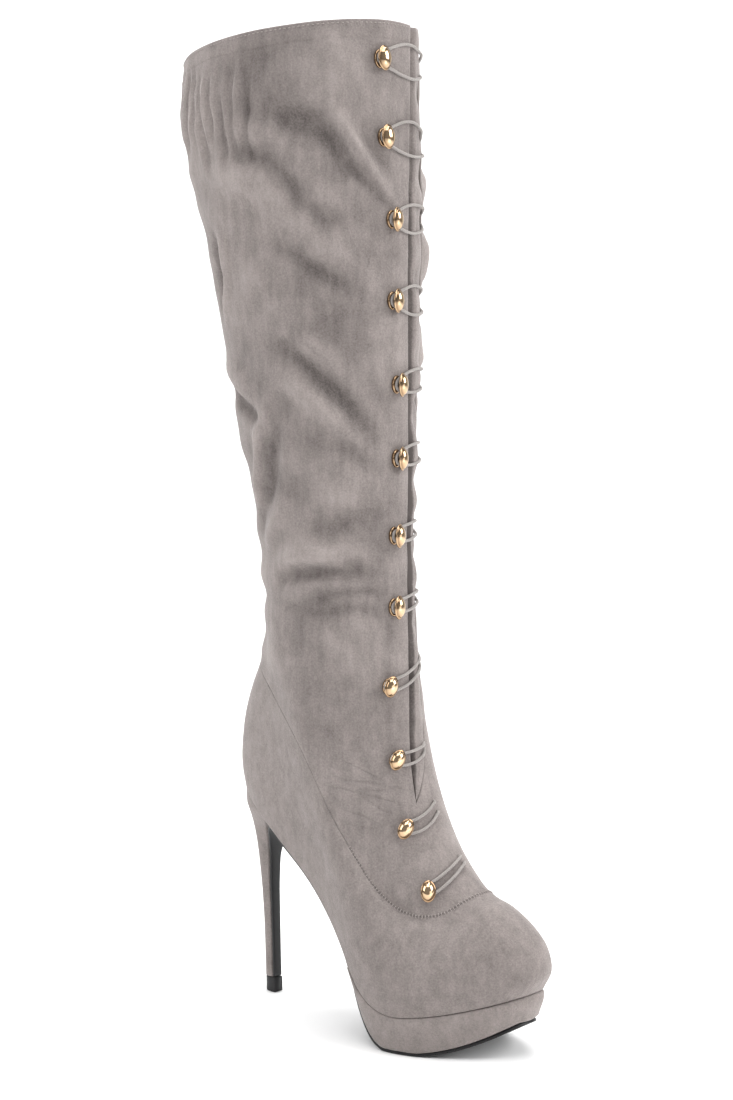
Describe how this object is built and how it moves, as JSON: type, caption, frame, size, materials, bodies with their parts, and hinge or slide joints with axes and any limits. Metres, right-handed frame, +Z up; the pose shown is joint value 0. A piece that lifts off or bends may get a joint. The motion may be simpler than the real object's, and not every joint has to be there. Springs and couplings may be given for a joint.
{
  "type": "high-heeled boot",
  "caption": "Knee-high right boot in soft suede with a slit front closed by dome buttons and cord loops, on a covered platform and a slim high heel.",
  "frame": {"origin": "middle of the bounding box, on the floor", "axes": "+X runs from heel to toe, +Y to the inner side of the foot, +Z up the leg"},
  "size_m": [0.2404, 0.1136, 0.552],
  "materials": {
    "suede": "soft napped suede, matt",
    "suede_cover": "suede stretched smooth over heel and platform",
    "gusset_cloth": "matt cloth",
    "insole_lining": "matt lining",
    "black_rubber": "smooth, slightly glossy",
    "gold_metal": "polished",
    "elastic_cord": "woven elastic"
  },
  "bodies": {
    "root": {"upper": "suede", "shaft": "suede", "gusset": "gusset_cloth", "insole": "insole_lining", "outsole": "black_rubber", "platform": "suede_cover", "heel": "suede_cover", "top_piece": "black_rubber", "button_01": "gold_metal", "button_02": "gold_metal", "button_03": "gold_metal", "button_04": "gold_metal", "button_05": "gold_metal", "button_06": "gold_metal", "button_07": "gold_metal", "button_08": "gold_metal", "button_09": "gold_metal", "button_10": "gold_metal", "button_11": "gold_metal", "button_12": "gold_metal", "loop_01": "elastic_cord", "loop_02": "elastic_cord", "loop_03": "elastic_cord", "loop_04": "elastic_cord", "loop_05": "elastic_cord", "loop_06": "elastic_cord", "loop_07": "elastic_cord", "loop_08": "elastic_cord", "loop_09": "elastic_cord", "loop_10": "elastic_cord", "loop_11": "elastic_cord", "loop_12": "elastic_cord"}
  },
  "joints": []
}
